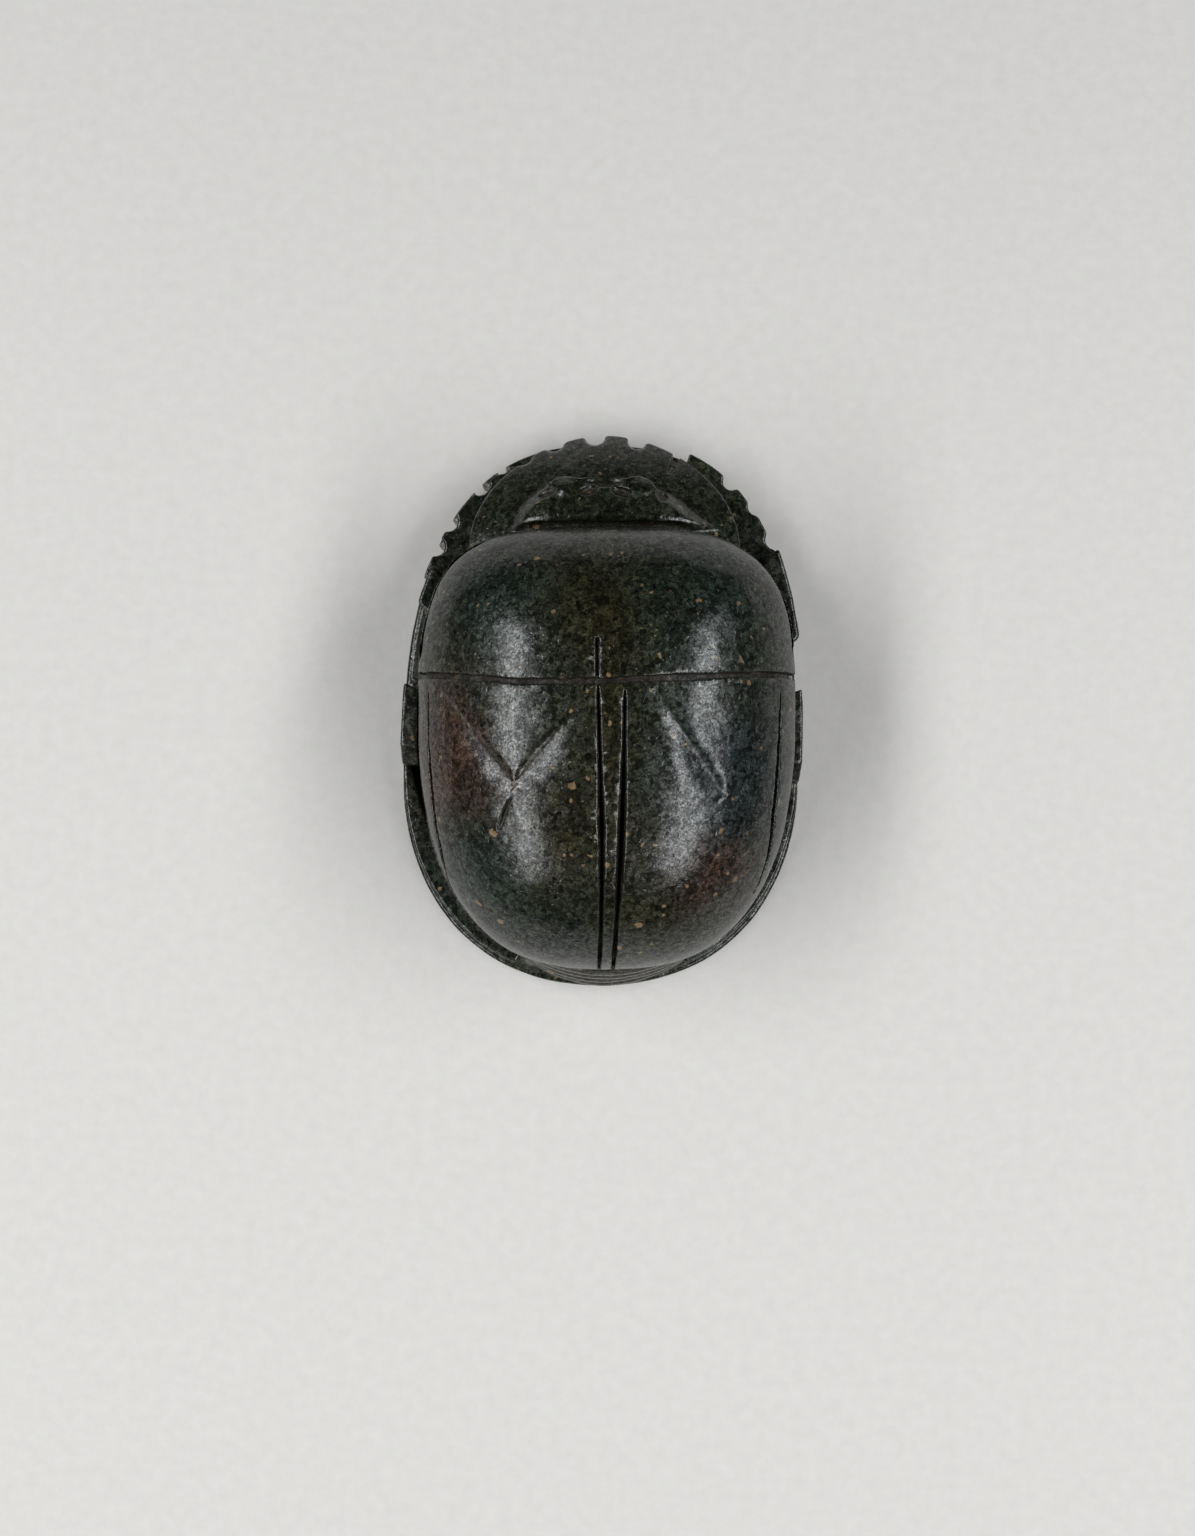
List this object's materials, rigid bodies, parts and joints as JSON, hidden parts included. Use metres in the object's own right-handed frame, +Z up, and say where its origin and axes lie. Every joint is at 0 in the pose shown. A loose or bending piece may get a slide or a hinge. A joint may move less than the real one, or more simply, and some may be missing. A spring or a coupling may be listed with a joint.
{
  "type": "scarab amulet",
  "caption": "Carved stone beetle amulet with a domed back, grooved wing cases, toothed head and tucked legs on a flat oval base.",
  "frame": {"origin": "centre of the bounding box at the flat underside of the base plate", "axes": "+Y from the tail towards the head, +X to the beetle's right side, +Z up out of its back"},
  "size_m": [0.0432, 0.06, 0.026],
  "materials": {
    "green_stone": "satin"
  },
  "bodies": {
    "root": {"scarab": "green_stone"}
  },
  "joints": []
}
